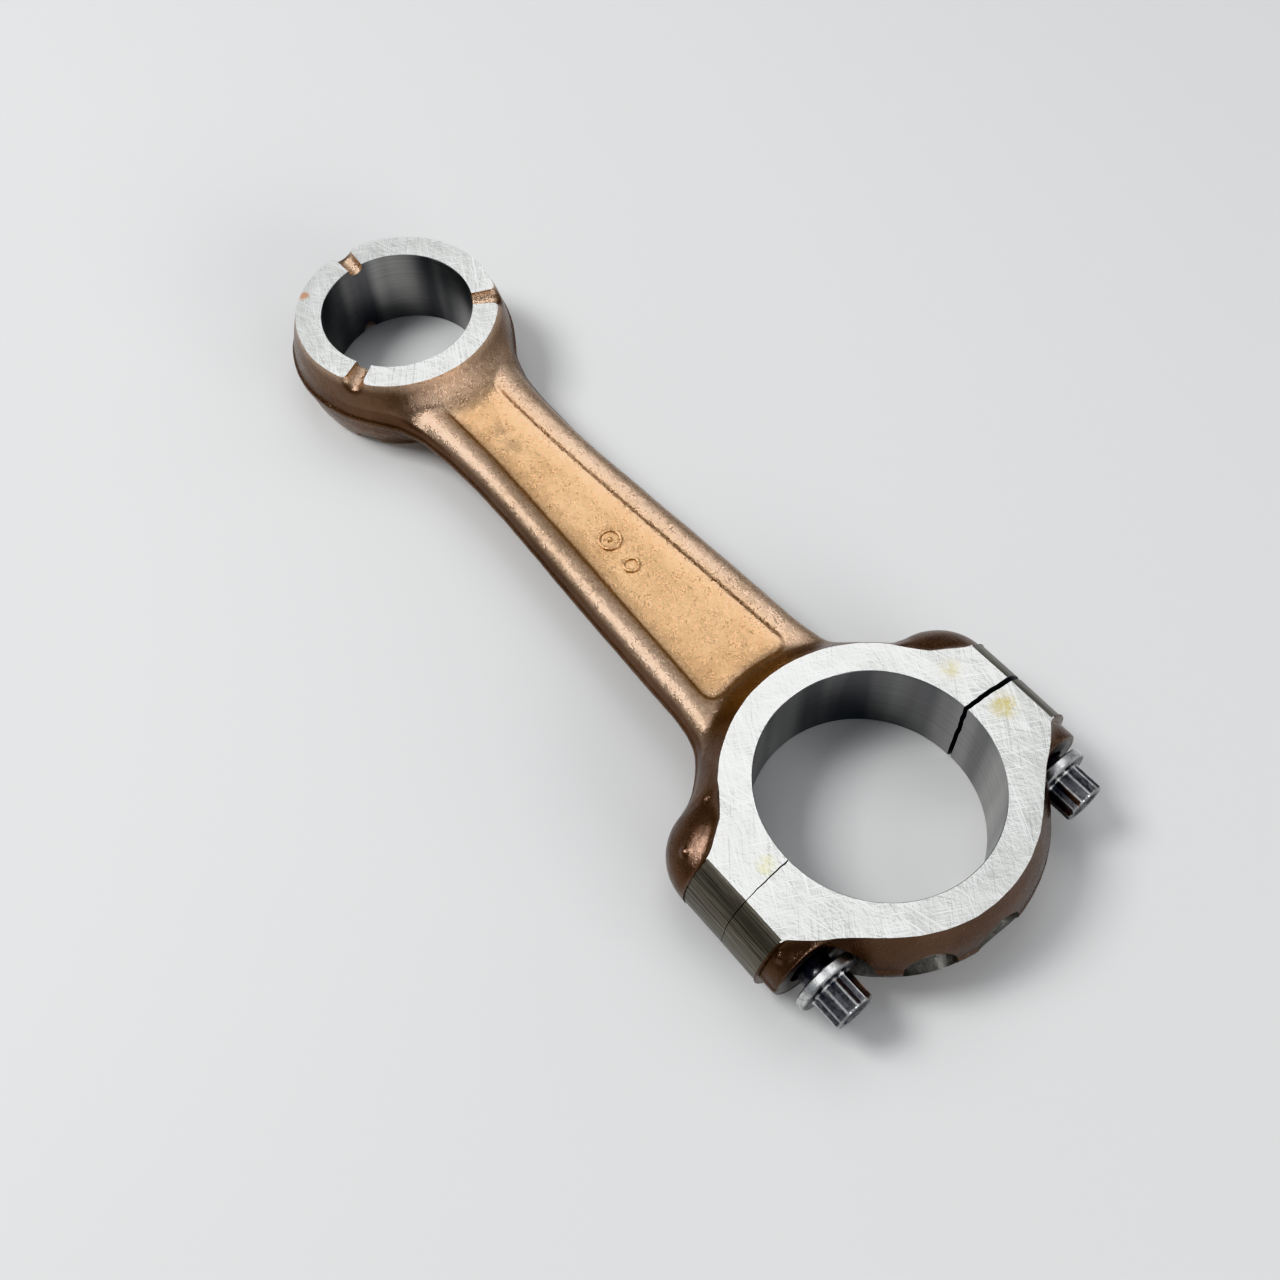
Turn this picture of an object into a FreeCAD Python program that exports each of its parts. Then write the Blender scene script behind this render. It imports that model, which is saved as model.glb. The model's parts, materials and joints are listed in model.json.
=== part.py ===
import FreeCAD, Part
import math
import os

from FreeCAD import Vector

# Connecting rod with a fracture-split big end, its cap standing open on two part-way screws.
# Row frame: origin at the big-end bore centre, mid thickness. +Y to the small end, +Z along the bores.

# ---- driving dimensions, mm ----
CENTRES = 154.0          # big-end to small-end bore centres
THICKNESS = 19.8         # over the ground thrust faces, the same at both ends
BIG_BORE_R = 23.0
SMALL_BORE_R = 17.1
SMALL_FACE_R = 22.8      # ground face of the small end
SMALL_RIM_R = 25.0       # small-end forging at the parting line
CAP_FACE_R = 29.2        # ground face of the cap
CAP_RIM_R = 32.6         # cap forging at the parting line
RING_FACE_R = 29.0       # rod half of the big end, at the ground face
RING_RIM_R = 32.4        # and at the parting line

# bolt bosses: a ground barrel along Y on each side, ending in a flattened forged dome on the rod
BOSS_X = 27.6
BOSS_R = 11.7
BOSS_TOP_Y = 8.6
DOME_R = 11.6
DOME_Y = 9.1
DOME_FLATTENING = 0.80   # its Z radius over its XY radius
SHOULDER_X = 29.2        # forged shoulder of the cap round the screw hole, below the ground side
SHOULDER_R = 9.2

# cap screws
BOLT_X = 30.3
BOLT_R = 3.95
BOLT_LENGTH = 30.0       # under the flange
FLANGE_R = 6.6
FLANGE_T = 2.2
HEAD_HEIGHT = 6.3        # twelve-point drive, beyond the flange
HEAD_FLATS = 7.65
HEAD_TIP_R = 4.4
CHAMFER = 0.5
SEAT_Y = -15.0           # screw seat on the cap
SEAT_R = 7.9             # spot face round the flange
THREAD_CLEARANCE = 0.05
CAP_HOLE_CLEARANCE = 0.40
TAPPED_DEPTH_Y = 17.0

# where the loose pieces stand at rest
CAP_GAP = 0.62           # cap open at the fracture, on the middle line
CAP_TILT = -0.75         # cocked cap, degrees about the bore axis: nearly shut on the left
LEFT_FLANGE_Y = -18.30   # under the flange of each backed-out screw
RIGHT_FLANGE_Y = -17.65

# beam between the ends
RIB_Z = 4.2              # half thickness over the ribs
WEB_Z = 2.3              # half thickness of the web
BIG_SKIRT_R = 37.0       # where the big-end flank has come down to the ribs
SMALL_SKIRT_R = 27.5
POCKET_FILLET = 1.6      # round the web

# balance holes drilled in the cap rim, by angle round the big end
BALANCE_ANGLES = (-116.0, -90.5)
BALANCE_R = 5.1
BALANCE_FLOOR_R = 28.6
DRILL_POINT = 1.4

# thrust-face oil slots in the small end
SLOT_ANGLES = (90.0, -30.0, -150.0)
SLOT_HALF_WIDTH = 1.8
SLOT_DEPTH = 1.9

# half outlines (x, y), mirrored about the Y axis
ROD_FACE = [(33.7, 8.6), (29.4, 11.5), (25.1, 15.6), (20.3, 20.8), (14.1, 25.5), (6.2, 28.4)]
CAP_CORNER = (33.7, -10.7)
CAP_TANGENT = (18.9, -22.2)
BEAM_SIDE = [(27.0, 20.5), (21.0, 25.0), (18.2, 29.0), (16.5, 34.0), (15.6, 45.0), (14.9, 62.0),
             (13.8, 80.0), (12.8, 96.0), (12.4, 108.0), (12.7, 118.0), (13.7, 126.0), (15.8, 132.0),
             (18.8, 137.5), (22.3, 143.0)]
POCKET_SIDE = [(10.6, 32.0), (9.8, 43.0), (8.8, 62.0), (7.7, 80.0), (6.9, 96.0), (6.3, 110.0),
               (6.2, 120.0), (6.6, 130.0)]
# fracture line across the whole big end, left to right
FRACTURE = [(-45.0, -1.9), (-39.3, -1.7), (-34.4, -1.5), (-28.0, -0.9), (-23.0, -0.6),
            (0.0, -0.1), (23.0, 0.3), (28.0, 0.1), (34.4, -0.4), (39.3, -0.7), (45.0, -0.8)]

HALF = THICKNESS / 2
UP, ALONG = Vector(0, 0, 1), Vector(0, 1, 0)


def vectors(points, sign=1):
    return [Vector(sign * x, y, 0) for x, y in points]


def curve(points):
    spline = Part.BSplineCurve()
    spline.interpolate(points)
    return spline.toShape()


def line(a, b):
    return Part.makeLine(a, b)


def prism(edges, low, high):
    face = Part.Face(Part.Wire(edges))
    face.translate(Vector(0, 0, low))
    return face.extrude(Vector(0, 0, high - low))


def ring_of_profile(edges, centre_y=0.0):
    face = Part.Face(Part.Wire(edges))
    solid = face.revolve(Vector(0, 0, 0), UP, 360)
    solid.translate(Vector(0, centre_y, 0))
    return solid


def barrel(face_r, rim_r, centre_y=0.0):
    """Disc whose rim bulges from face_r at the ground faces to rim_r at the parting line."""
    low, high = Vector(face_r, 0, -HALF), Vector(face_r, 0, HALF)
    axis_low, axis_high = Vector(0, 0, -HALF), Vector(0, 0, HALF)
    rim = Part.Arc(low, Vector(rim_r, 0, 0), high).toShape()
    section = [line(axis_low, low), rim, line(high, axis_high), line(axis_high, axis_low)]
    return ring_of_profile(section, centre_y)


def skirt(face_r, foot_r, centre_y=0.0):
    """Disc whose flank sweeps down in a hollow curve from a ground face to the ribs."""
    top, foot = Vector(face_r, 0, HALF), Vector(foot_r, 0, RIB_Z)
    sag = Vector(face_r + 0.30 * (foot_r - face_r), 0, RIB_Z + 0.36 * (HALF - RIB_Z))
    hub_top, hub_foot = Vector(0, 0, HALF), Vector(0, 0, 0)
    edge = Vector(foot_r, 0, 0)
    upper = ring_of_profile([line(hub_foot, edge), line(edge, foot), Part.Arc(foot, sag, top).toShape(),
                             line(top, hub_top), line(hub_top, hub_foot)], centre_y)
    return upper.fuse(upper.mirror(Vector(0, 0, 0), UP))


def both_sides(make):
    return make(1).fuse(make(-1))


def along_y(x, radius, y_from, y_to):
    return Part.makeCylinder(radius, y_to - y_from, Vector(x, y_from, 0), ALONG)


def symmetric_outline(side):
    right, left = vectors(side), vectors(side, -1)
    return [curve(right), line(right[-1], left[-1]), curve(left[::-1]), line(left[0], right[0])]


def beam():
    blank = prism(symmetric_outline(BEAM_SIDE), -HALF, HALF)
    slab = Part.makeBox(100, 160, 2 * RIB_Z, Vector(-50, 0, -RIB_Z))
    skirts = [skirt(RING_FACE_R, BIG_SKIRT_R), skirt(SMALL_FACE_R, SMALL_SKIRT_R, CENTRES)]
    body = blank.common(slab.fuse(skirts))
    pocket = prism(symmetric_outline(POCKET_SIDE), WEB_Z, HALF)
    for radius, y in ((BIG_SKIRT_R, 0), (SMALL_SKIRT_R, CENTRES)):
        pocket = pocket.cut(Part.makeCylinder(radius, HALF, Vector(0, y, 0)))
    floor = [e for e in pocket.Edges if abs(e.BoundBox.ZMin - WEB_Z) < 1e-6 and e.BoundBox.ZLength < 1e-6]
    pocket = pocket.makeFillet(POCKET_FILLET, floor)
    return body.cut([pocket, pocket.mirror(Vector(0, 0, 0), UP)])


def small_end():
    eye = barrel(SMALL_FACE_R, SMALL_RIM_R, CENTRES)
    centre_z = HALF - SLOT_DEPTH + SLOT_HALF_WIDTH
    slots = []
    for angle in SLOT_ANGLES:
        for side in (1, -1):
            groove = Part.makeCylinder(SLOT_HALF_WIDTH, 12, Vector(14, 0, centre_z), Vector(1, 0, 0))
            opening = Part.makeBox(12, 2 * SLOT_HALF_WIDTH, 3, Vector(14, -SLOT_HALF_WIDTH, centre_z))
            groove = groove.fuse(opening)
            if side < 0:
                groove = groove.mirror(Vector(0, 0, 0), UP)
            groove.rotate(Vector(0, 0, 0), UP, angle)
            groove.translate(Vector(0, CENTRES, 0))
            slots.append(groove)
    return eye, slots


def big_end_blank():
    """Big end before it is split: rod-side ring, cap ring, bolt bosses and their ground sides."""
    right, left = vectors(ROD_FACE), vectors(ROD_FACE, -1)
    crown = Vector(0, RING_FACE_R, 0)
    corner, tangent = Vector(*CAP_CORNER, 0), Vector(*CAP_TANGENT, 0)
    corner_l, tangent_l = Vector(-corner.x, corner.y, 0), Vector(-tangent.x, tangent.y, 0)
    cap_arc = Part.Arc(tangent, Vector(0, -CAP_FACE_R, 0), tangent_l).toShape()
    face_outline = prism([curve(right + [crown] + left[::-1]), line(left[0], corner_l),
                          line(corner_l, tangent_l), cap_arc, line(tangent, corner),
                          line(corner, right[0])], -HALF, HALF)
    rod_half = Part.makeBox(80, 40, THICKNESS, Vector(-40, 0, -HALF))
    cap_half = Part.makeBox(80, 40, THICKNESS, Vector(-40, -40, -HALF))
    rod_ring = barrel(RING_FACE_R, RING_RIM_R).common(rod_half)
    cap_ring = barrel(CAP_FACE_R, CAP_RIM_R).common(cap_half)
    bosses = both_sides(lambda s: along_y(s * BOSS_X, BOSS_R, CAP_CORNER[1], BOSS_TOP_Y))
    shoulders = both_sides(lambda s: along_y(s * SHOULDER_X, SHOULDER_R, SEAT_Y, CAP_CORNER[1]))
    dome = Part.makeSphere(DOME_R)
    flatten = FreeCAD.Matrix()
    flatten.scale(1, 1, DOME_FLATTENING)
    dome = dome.transformGeometry(flatten)
    domes = both_sides(lambda s: dome.translated(Vector(s * BOSS_X, DOME_Y, 0)))
    body = face_outline.fuse([rod_ring, cap_ring, bosses, shoulders, domes])
    return body.common(Part.makeBox(120, 120, THICKNESS, Vector(-60, -60, -HALF)))


def cap_side_of_fracture():
    """Everything below the fracture line, used to split the blank into cap and rod."""
    points = vectors(FRACTURE)
    low_left, low_right = Vector(points[0].x, -60, 0), Vector(points[-1].x, -60, 0)
    outline = [curve(points), line(points[-1], low_right), line(low_right, low_left),
               line(low_left, points[0])]
    return prism(outline, -HALF - 1, HALF + 1)


def balance_hole(angle):
    outward, tip_r = Vector(1, 0, 0), BALANCE_FLOOR_R - DRILL_POINT
    drill = Part.makeCylinder(BALANCE_R, 12, Vector(BALANCE_FLOOR_R, 0, 0), outward)
    point = Part.makeCone(0.0, BALANCE_R, DRILL_POINT, Vector(tip_r, 0, 0), outward)
    tool = drill.fuse(point)
    tool.rotate(Vector(0, 0, 0), UP, angle)
    return tool


def rod_and_cap():
    blank, below = big_end_blank(), cap_side_of_fracture()
    bore = Part.makeCylinder(BIG_BORE_R, 3 * THICKNESS, Vector(0, 0, -1.5 * THICKNESS))
    eye, slots = small_end()

    rod = blank.cut(below).fuse([beam(), eye])
    small_bore = Part.makeCylinder(SMALL_BORE_R, 3 * THICKNESS, Vector(0, CENTRES, -1.5 * THICKNESS))
    tapped = [along_y(s * BOLT_X, BOLT_R + THREAD_CLEARANCE, -10, TAPPED_DEPTH_Y) for s in (1, -1)]
    rod = rod.cut([bore, small_bore, below] + tapped + slots).removeSplitter()

    seats = [along_y(s * BOLT_X, SEAT_R, -45, SEAT_Y) for s in (1, -1)]
    holes = [along_y(s * BOLT_X, BOLT_R + CAP_HOLE_CLEARANCE, -45, 10) for s in (1, -1)]
    balance = [balance_hole(angle) for angle in BALANCE_ANGLES]
    cap = blank.common(below).cut([bore] + seats + holes + balance).removeSplitter()
    cap.rotate(Vector(0, 0, 0), UP, CAP_TILT)
    cap.translate(Vector(0, -CAP_GAP, 0))
    return rod, cap


def hexagon_prism(turn, start, height):
    corner = HEAD_FLATS / math.sqrt(3)
    angles = [math.radians(60 * k + turn) for k in range(7)]
    points = [Vector(corner * math.cos(a), start, corner * math.sin(a)) for a in angles]
    return Part.Face(Part.makePolygon(points)).extrude(Vector(0, -height, 0))


def cap_screw(x, flange_y):
    """Flange screw drawn with its flange face at y = 0 and its drive to -Y, then moved to rest."""
    shank = Part.makeCylinder(BOLT_R, BOLT_LENGTH, Vector(0, 0, 0), ALONG)
    shank = shank.makeChamfer(CHAMFER, [e for e in shank.Edges if e.BoundBox.YMin > BOLT_LENGTH - 0.01])
    flange = Part.makeCylinder(FLANGE_R, FLANGE_T, Vector(0, -FLANGE_T, 0), ALONG)
    flange = flange.makeChamfer(0.35, [e for e in flange.Edges if e.BoundBox.YMax < 0.01 - FLANGE_T])
    end_y = -FLANGE_T - HEAD_HEIGHT
    drive = hexagon_prism(0, -FLANGE_T, HEAD_HEIGHT).fuse(hexagon_prism(30, -FLANGE_T, HEAD_HEIGHT))
    envelope = Part.makeCylinder(HEAD_TIP_R, HEAD_HEIGHT, Vector(0, end_y, 0), ALONG)
    envelope = envelope.makeChamfer(CHAMFER, [e for e in envelope.Edges if e.BoundBox.YMax < end_y + 0.01])
    screw = shank.fuse([flange, drive.common(envelope)]).removeSplitter()
    screw.translate(Vector(x, flange_y, 0))
    return screw


os.makedirs("parts", exist_ok=True)
rod_shape, cap_shape = rod_and_cap()
nodes = {
    "rod_body": rod_shape,
    "big_end_cap": cap_shape,
    "cap_screw_left": cap_screw(-BOLT_X, LEFT_FLANGE_Y),
    "cap_screw_right": cap_screw(BOLT_X, RIGHT_FLANGE_Y),
}
for name, shape in nodes.items():
    solids = shape.Solids
    print(name, "solids", len(solids), "valid", shape.isValid(), "volume", round(shape.Volume, 1))
    solids[0].exportStep("parts/" + name + ".step")
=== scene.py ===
import json
import math

import bpy
import bmesh
import numpy as np
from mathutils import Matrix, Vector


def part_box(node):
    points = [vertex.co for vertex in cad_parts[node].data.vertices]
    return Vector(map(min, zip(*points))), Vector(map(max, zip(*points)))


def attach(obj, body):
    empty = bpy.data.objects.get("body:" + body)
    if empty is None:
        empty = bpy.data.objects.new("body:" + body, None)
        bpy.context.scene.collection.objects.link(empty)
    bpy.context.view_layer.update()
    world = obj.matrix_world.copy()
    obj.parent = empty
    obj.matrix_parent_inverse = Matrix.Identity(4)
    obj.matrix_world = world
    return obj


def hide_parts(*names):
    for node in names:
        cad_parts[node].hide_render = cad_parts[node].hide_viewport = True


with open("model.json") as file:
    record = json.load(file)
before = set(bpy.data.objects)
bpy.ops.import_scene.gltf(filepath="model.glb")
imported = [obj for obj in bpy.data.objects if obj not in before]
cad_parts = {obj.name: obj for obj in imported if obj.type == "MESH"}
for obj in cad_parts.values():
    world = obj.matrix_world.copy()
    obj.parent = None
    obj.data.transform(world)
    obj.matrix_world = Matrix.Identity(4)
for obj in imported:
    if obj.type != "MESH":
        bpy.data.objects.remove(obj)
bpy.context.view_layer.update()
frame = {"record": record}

import openvdb as vdb
from mathutils import Matrix, Vector

# Connecting rod: forged copper-plated skin built as a distance field, then cut by machining tools.
# Lengths below are millimetres in the frame of the CAD part; MM turns them into Blender's metres.
MM = 0.001
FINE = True
VOXEL = 0.33 if FINE else 0.66
RNG = np.random.default_rng(7)

mounts = {m["name"]: m for m in frame["record"]["mounts"]}
BIG_R = mounts["big_end_bore"]["dims"]["r_mm"]
SMALL_R = mounts["small_end_bore"]["dims"]["r_mm"]
HALF = mounts["big_end_bore"]["dims"]["length_mm"] / 2
CENTRES = mounts["small_end_bore"]["pos_m"][1] / MM

# Beam of the forging
WEB_Z, RIB_Z = 2.3, 4.3                                 # half thickness at the web and along the ribs
BEAM = [(20.5, 27.5), (24.5, 21.4), (28.5, 18.6), (33.0, 17.0), (38.0, 16.3), (45.0, 16.0),
        (62.0, 15.2), (80.0, 14.1), (96.0, 13.1), (108.0, 12.8), (118.0, 13.1), (126.0, 14.1),
        (132.0, 16.0), (137.5, 18.9), (142.0, 21.2), (146.0, 21.9), (151.0, 21.6)]      # (y, half width)
POCKET = [(32.0, 10.6), (43.0, 9.9), (62.0, 8.85), (80.0, 7.75), (96.0, 6.95), (110.0, 6.35),
          (122.0, 6.3), (130.0, 6.6), (140.0, 7.2)]                                     # (y, half width)
POCKET_END_R = 35.0                                     # the pocket turns round in front of the big end
BEAM_ENDS = (20.0, 151.0)                               # the beam runs into both ends of the rod
RIB_CREST, RIB_REACH, RIB_CURVE = 3.1, 3.4, 0.09        # its distance from the pocket and its rounding
DISH_RISE, DISH_RUN = 0.62, 4.4                         # how the web rises towards the ribs
WEB_EDGE = (-0.35, 0.40)                                # from the rib's foot to the web's edge
WEB_MARKS = ((-0.4, 77.6, 2.35, 0.32), (-0.4, 77.6, 0, 0.5), (-1.0, 69.8, 1.6, 0.32))   # (x, y, ring, wire)
MARK_Z = WEB_Z + 0.20

# Both ends of the forging: radius at the thrust faces and at mid thickness
RING_FACE, RING_RIM = 28.3, 32.4
CAP_FACE, CAP_RIM = 29.2, 32.5
EYE_FACE, EYE_RIM, EYE_SHIFT = 22.7, 24.9, 0.35         # the eye forging sits a little beyond its bore
SWEEPS = ((0.0, RING_FACE - 0.6, 38.4, 1.8),            # (y of centre, top radius, foot radius, power)
          (CENTRES + EYE_SHIFT, EYE_FACE - 0.8, 33.5, 2.1))
SWEEP_SINK, SWEEP_OVER = 0.35, 0.4                      # below the web at its foot, over the thrust face
BOSS_X, BOSS_R, DOME_Y = 27.6, 11.7, 9.1
SHOULDER_X, SHOULDER_R = 29.2, 9.2
BOSS_FLAT, DOME_FLAT = 1.10, 0.31                       # the boss is stretched in Z, its dome flattened
FLASH_Z = (0.55, 1.15)                                  # half height of the flash land and of its foot
SIDE_DRAFT, ROD_DRAFT, CAP_DRAFT = 0.13, 0.20, 0.24     # width lost per millimetre away from mid thickness
ROD_NUB, CAP_NUB = (-34.9, 13.1, 6.1), (-34.9, -12.2, 6.6)      # small die-vent pips on the forging

# Right half of each thrust face round the joint
FACE_ROD = [(33.8, -4.0), (33.8, 8.6), (31.4, 10.0), (29.2, 11.4), (26.9, 13.0), (24.9, 15.5), (23.3, 17.5),
            (20.1, 20.6), (17.6, 22.6), (13.6, 25.0), (11.0, 26.2), (6.1, 27.5), (0.0, 28.1)]
FACE_CAP = [(33.8, 4.0), (33.8, -10.6), (28.5, -14.6), (22.9, -19.1), (18.6, -22.3), (14.9, -24.9),
            (10.0, -27.3), (5.0, -28.7), (0.0, -29.1)]

# Machining
STOCK = 1.5                                             # forging ground off each thrust face
CHAMFER = 0.12                                          # at both ends of each bore
GROUND_SIDE = (-10.7, 8.6)                              # y range of the milled sides of the joint
SLOT_ANGLES = (90, -30, -150)
SLOT_WIDTH, SLOT_DEPTH, SLOT_FLARE = 1.75, 1.95, 0.085  # half width, depth, widening per millimetre
SCREW_X = 30.3
SEAT_R, SEAT_Y = 7.9, -15.0
TAP_R, TAP_Y, TAP_TIP = 4.05, 15.8, 18.0                # blind hole in the rod: radius, wall end, tip
CLEARANCE_R = 4.35
DRILL_ANGLES = (-116.0, -90.5)                          # balance drillings in the rim of the cap
DRILL_PROFILE = [(0, 27.2), (4.6, 28.4), (5.1, 29.0), (5.1, 45), (0, 45)]       # (radius, distance out)
OUTSIDE = 60                                            # beyond the part on every side
CAP_GAP, CAP_TILT = 0.62, -0.75                         # millimetres and degrees


# ---------------------------------------------------------------- distance fields

def smooth_min(a, b, blend):
    """Union of two fields whose meeting edge is filled over a width of blend millimetres."""
    h = np.clip(0.5 + 0.5 * (b - a) / blend, 0, 1)
    return b + (a - b) * h - blend * h * (1 - h)


def smooth_max(a, b, blend):
    return -smooth_min(-a, -b, blend)


def ramp(lo, hi, v):
    """0 at lo, 1 at hi, with a smooth step between."""
    t = np.clip((v - lo) / (hi - lo), 0, 1)
    return t * t * (3 - 2 * t)


def outline_distance(points, x, y):
    """Signed distance to a closed outline, negative inside."""
    p = np.array(points, float)
    q = np.roll(p, -1, axis=0)
    best = np.full(x.shape, 1e9)
    inside = np.zeros(x.shape, bool)
    for (ax, ay), (bx, by) in zip(p, q):
        ex, ey = bx - ax, by - ay
        t = np.clip(((x - ax) * ex + (y - ay) * ey) / (ex * ex + ey * ey), 0, 1)
        best = np.minimum(best, np.hypot(x - ax - t * ex, y - ay - t * ey))
        if ay != by:
            inside ^= ((ay > y) != (by > y)) & (x < ex * (y - ay) / ey + ax)
    return np.where(inside, -best, best)


def mirrored(half):
    return half + [(-x, y) for x, y in half[::-1] if x > 0]


def smooth_width(y, outline=BEAM):
    """Half width at y of an outline given as (y, half width) rows, with its corners smoothed."""
    steps, window = 900, 41
    stations, half_widths = np.transpose(outline)
    fine = np.linspace(stations[0], stations[-1], steps)
    width = np.interp(fine, stations, half_widths)
    kernel = np.hanning(window)
    padded = np.pad(width, window // 2, mode="edge")
    return np.interp(y, fine, np.convolve(padded, kernel / kernel.sum(), mode="valid"))


def into_pocket(x, y):
    """Distance inwards from the rim of the web pocket, negative on the ribs."""
    across = smooth_width(y, POCKET) - np.abs(x)
    return smooth_min(across, np.hypot(x, y) - POCKET_END_R, blend=4.5)


CURVED = 0.9        # keeps the slope of a curved field near that of a true distance


def barrel(r, z, face, rim, power=2.0):
    """Ring forging whose radius falls from rim at mid thickness to face at the thrust faces."""
    return (r - (rim - (rim - face) * (np.abs(z) / HALF) ** power)) * CURVED


def beam_height(x, y):
    """Half thickness of the beam forging over the web, the ribs and the sweeps up to both ends."""
    depth = into_pocket(x, y)
    rib = RIB_Z - RIB_CURVE * np.clip(np.abs(depth + RIB_CREST), 0, RIB_REACH) ** 2
    dish = WEB_Z + DISH_RISE * np.clip(1 - depth / DISH_RUN, 0, 1.2) ** 2
    height = rib + (dish - rib) * ramp(*WEB_EDGE, depth)
    for centre, top, foot, power in SWEEPS:
        r = np.hypot(x, y - centre)
        rise = (HALF + SWEEP_OVER - WEB_Z) * np.clip((foot - r) / (foot - top), 0, 1.6) ** power
        fall = 0.35 * np.clip(r - foot, 0, 6)
        height = smooth_max(height, WEB_Z - SWEEP_SINK + rise - fall, blend=1.1)
    return height


def flash_land(z, height):
    """Narrow raised band where the flash was trimmed off at the parting line."""
    return height * (1 - ramp(*FLASH_Z, np.abs(z)))


def boss(x, y, z, radius):
    """Bolt boss on each side: a barrel along Y that ends in a flattened dome."""
    flat = BOSS_FLAT - DOME_FLAT * ramp(DOME_Y - 1.3, DOME_Y + 0.4, y)
    past = np.clip(y - DOME_Y, 0, None)
    return (np.sqrt((np.abs(x) - BOSS_X) ** 2 + past ** 2 + (z / flat) ** 2) - radius) * CURVED


def ball(x, y, z, centre, radius):
    return np.sqrt((x - centre[0]) ** 2 + (y - centre[1]) ** 2 + (z - centre[2]) ** 2) - radius


def oil_slots(x, y, z):
    """Three grooves across each small-end thrust face, widening outwards; negative inside a groove."""
    away = 9.0
    grooves = np.full(x.shape, away)
    for angle in SLOT_ANGLES:
        ca, sa = math.cos(math.radians(angle)), math.sin(math.radians(angle))
        along, across = ca * x + sa * (y - CENTRES), ca * (y - CENTRES) - sa * x
        width = SLOT_WIDTH + SLOT_FLARE * np.clip(along - 17, 0, 9)
        above_floor = np.clip(HALF - SLOT_DEPTH + width - np.abs(z), 0, None)
        groove = np.where(along > 10, np.hypot(across, above_floor) - width, away)
        grooves = np.minimum(grooves, groove)
    return grooves


def rod_field(x, y, z, flat):
    """The rod's forging; flat holds what is the same at every z (see flats_of_rod)."""
    side = (np.abs(x) - flat["width"]) * flat["slope"] + SIDE_DRAFT * np.abs(z)
    side = side - flash_land(z, height=0.38)
    beam = smooth_max(side, (np.abs(z) - flat["height"]) / flat["steep"], blend=2.8)
    beam = smooth_max(beam, np.where(y < 26, BEAM_ENDS[0] - y, y - BEAM_ENDS[1]), blend=0.5)
    ring = barrel(np.hypot(x, y), z, RING_FACE, RING_RIM) - flash_land(z, height=0.2)
    face = flat["face"] - ROD_DRAFT * (HALF - np.abs(z))
    face = np.maximum(face, np.abs(z) - HALF - STOCK)
    r_eye = np.hypot(x, y - CENTRES - EYE_SHIFT)
    eye = barrel(r_eye, z, EYE_FACE, EYE_RIM, power=1.7) - flash_land(z, height=0.55)
    body = smooth_min(ring, face, blend=0.8)
    body = smooth_min(body, boss(x, y, z, BOSS_R + 0.25), blend=1.6)
    body = smooth_min(body, ball(x, y, z, ROD_NUB, 1.15), blend=0.5)
    skin = smooth_min(smooth_min(body, beam, blend=3.0), eye, blend=2.4)
    return smooth_max(skin, -oil_slots(x, y, z), blend=1.3)


def cap_field(x, y, z, flat):
    """The cap's forging: ring, block beside the joint and a shoulder under each screw."""
    ring = barrel(np.hypot(x, y), z, CAP_FACE, CAP_RIM) - flash_land(z, height=0.3)
    face = flat["face"] - CAP_DRAFT * (HALF - np.abs(z))
    face = np.maximum(face, np.abs(z) - HALF - STOCK)
    block = np.hypot(np.abs(x) - BOSS_X, z) - BOSS_R - 0.35
    block = smooth_max(block, GROUND_SIDE[0] - 0.35 - y, blend=0.4)
    shoulder = np.hypot(np.abs(x) - SHOULDER_X, z) - SHOULDER_R - flash_land(z, height=0.25)
    shoulder = smooth_max(shoulder, SEAT_Y - 0.1 - y, blend=0.7)
    shoulder = smooth_min(shoulder, ball(x, y, z, CAP_NUB, 1.1), blend=0.5)
    skin = smooth_min(smooth_min(ring, face, blend=0.8), shoulder, blend=2.2)
    return smooth_min(skin, block, blend=0.3)


def field_mesh(name, field, low, high, flats):
    """Meshes the zero surface of a field that is the same above and below z = 0."""
    band = 3.0          # voxels on each side of the surface that keep their distance
    xs = np.arange(low[0], high[0] + VOXEL, VOXEL)
    ys = np.arange(low[1], high[1] + VOXEL, VOXEL)
    zs = np.arange(0, high[2] + VOXEL, VOXEL)
    x, y = np.meshgrid(xs, ys, indexing="ij")
    flat = flats(x, y)
    upper = np.stack([field(x, y, np.full_like(x, z), flat) for z in zs], axis=2)
    full = np.concatenate([upper[:, :, :0:-1], upper], axis=2).astype(np.float32)
    full = np.clip(full / VOXEL, -band, band)
    grid = vdb.FloatGrid(band)
    grid.copyFromArray(np.ascontiguousarray(full), tolerance=0.0)
    points, quads = grid.convertToQuads(0.0)
    points = points * VOXEL + np.array([xs[0], ys[0], -zs[-1]])
    mesh = bpy.data.meshes.new(name)
    mesh.from_pydata((points * MM).tolist(), [], quads.tolist())
    mesh.update()
    give_steels(mesh)
    return linked(name, mesh)


def linked(name, data):
    item = bpy.data.objects.new(name, data)
    bpy.context.scene.collection.objects.link(item)
    return item


def give_steels(mesh):
    for material in STEELS:
        mesh.materials.append(material)


def coordinates(mesh):
    """Vertices of a mesh in millimetres."""
    co = np.empty(len(mesh.vertices) * 3, np.float32)
    mesh.vertices.foreach_get("co", co)
    return co.reshape(-1, 3).astype(float) / MM


LATTICE = (48, 48, 48)


def lattice_noise(p, size, lattice):
    """Smooth value noise over points p, one lattice cell per size millimetres."""
    q = p / size
    cell = np.floor(q).astype(int)
    t = q - cell
    t = t * t * (3 - 2 * t)
    total = np.zeros(len(p))
    n = lattice.shape[0]
    for corner in range(8):
        offset = np.array([corner & 1, corner >> 1 & 1, corner >> 2 & 1])
        weight = np.prod(np.where(offset, t, 1 - t), axis=1)
        i, j, k = ((cell + offset) % n).T
        total += weight * lattice[i, j, k]
    return total


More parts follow.
